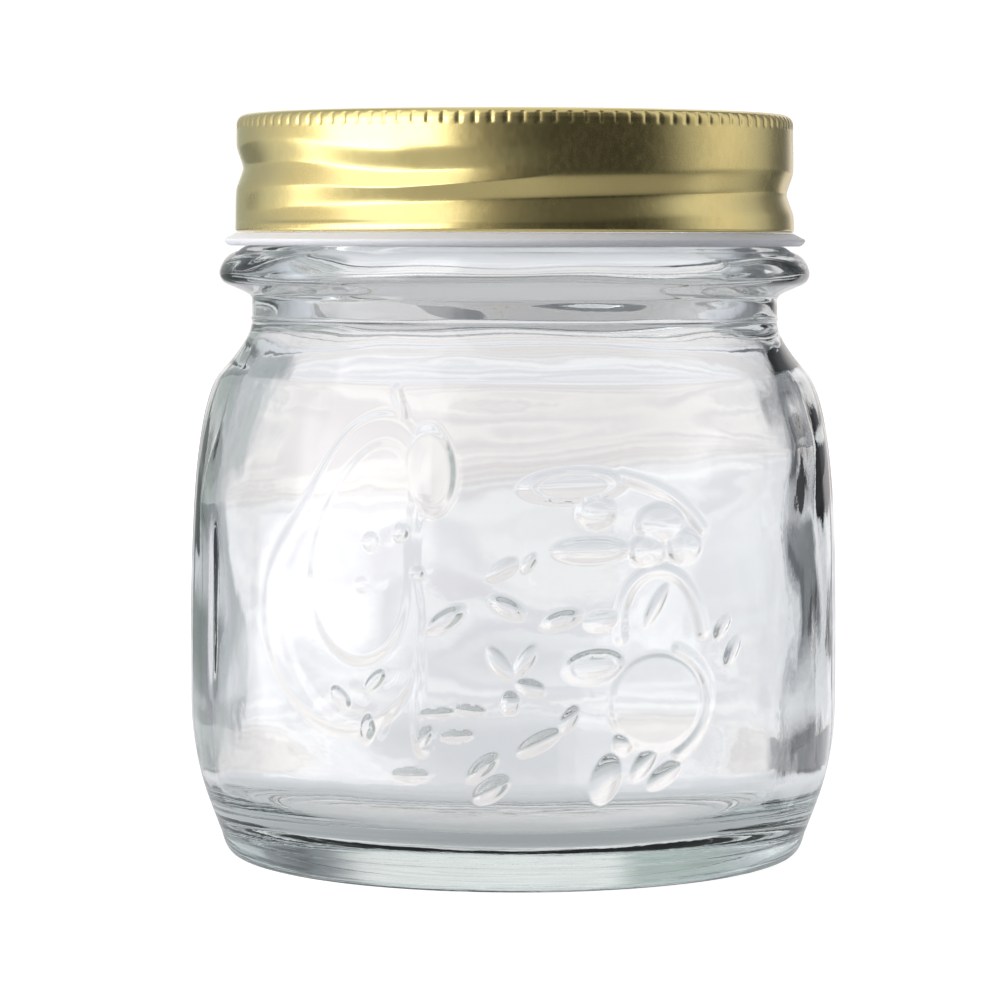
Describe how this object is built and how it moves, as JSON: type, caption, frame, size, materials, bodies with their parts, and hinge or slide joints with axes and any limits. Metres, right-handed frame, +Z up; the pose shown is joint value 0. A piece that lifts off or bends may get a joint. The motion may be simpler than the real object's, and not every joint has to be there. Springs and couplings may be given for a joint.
{
  "type": "mason jar",
  "caption": "Round glass canning jar with a rounded shoulder, a sealing ring on the neck bead, and a threaded screw band that holds a flat lid disc.",
  "frame": {"origin": "on the jar's axis, at the plane its base stands on", "axes": "+Z up along the jar's axis, -Y towards the front"},
  "size_m": [0.0836, 0.0842, 0.0953],
  "materials": {
    "clear_glass": "clear pressed glass, faintly green-grey where it is thick",
    "gold_band": "satin gold lacquer on tinned steel",
    "gold_lid": "satin gold lacquer on tinned steel",
    "seal_compound": "matt elastic sealing compound",
    "white_ring": "matt white elastic ring"
  },
  "bodies": {
    "jar": {"glass_jar": "clear_glass", "shoulder_ring": "white_ring"},
    "lid": {"lid_disc": "gold_lid", "sealing_compound": "seal_compound"},
    "band": {"screw_band": "gold_band"}
  },
  "joints": [
    {"name": "lid_rise", "type": "slide", "parent": "jar", "child": "lid", "axis": [0, 0, 1], "range_m": [0, 0.0191]},
    {"name": "band_turn", "type": "hinge", "parent": "lid", "child": "band", "pos_m": [0, 0, 0.0878], "axis": [0, 0, 1], "range_deg": [0, 1080]}
  ],
  "couplings": [
    {"joint": "lid_rise", "follows": "band_turn", "m_per_rad": 0.0010106}
  ]
}
